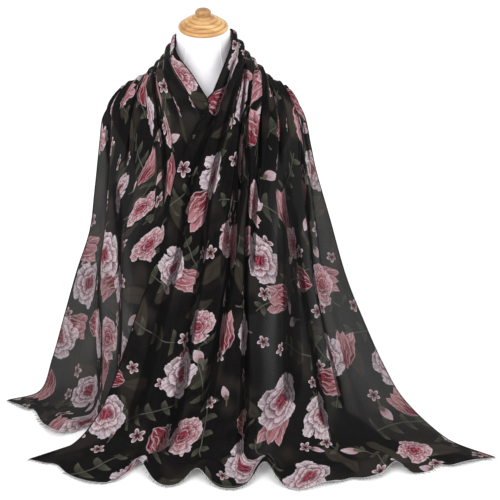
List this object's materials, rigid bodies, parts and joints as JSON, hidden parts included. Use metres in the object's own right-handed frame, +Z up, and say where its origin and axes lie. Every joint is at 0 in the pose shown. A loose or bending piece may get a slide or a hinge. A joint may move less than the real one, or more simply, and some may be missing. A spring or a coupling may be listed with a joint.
{
  "type": "voile scarf on a dress form",
  "caption": "Sheer floral scarf laid round the neck of a limbless dress form on a low stand, its ends crossed at the front and spread over the surface as a train, fringed along the hems.",
  "frame": {"origin": "middle of the stand base's underside, on the surface that the form and the scarf's train rest on", "axes": "+Z up, -Y to the front where the scarf's ends hang, +X to the right as seen from the front"},
  "size_m": [0.9956, 0.5184, 0.841],
  "materials": {
    "printed_voile": "sheer black voile with a pink floral print",
    "frayed_yarn": "loose yarn",
    "form_cover": "smooth white jersey",
    "honey_wood": "satin varnish",
    "stand_metal": "brushed",
    "stand_paint": "white paint"
  },
  "bodies": {
    "root": {"over_fall": "printed_voile", "under_fall": "printed_voile", "neck_wrap": "printed_voile", "over_hem_fringe": "frayed_yarn", "under_hem_fringe": "frayed_yarn", "form_torso": "form_cover", "neck_cap": "honey_wood", "stand_pole": "stand_metal", "stand_base": "stand_paint"}
  },
  "joints": []
}
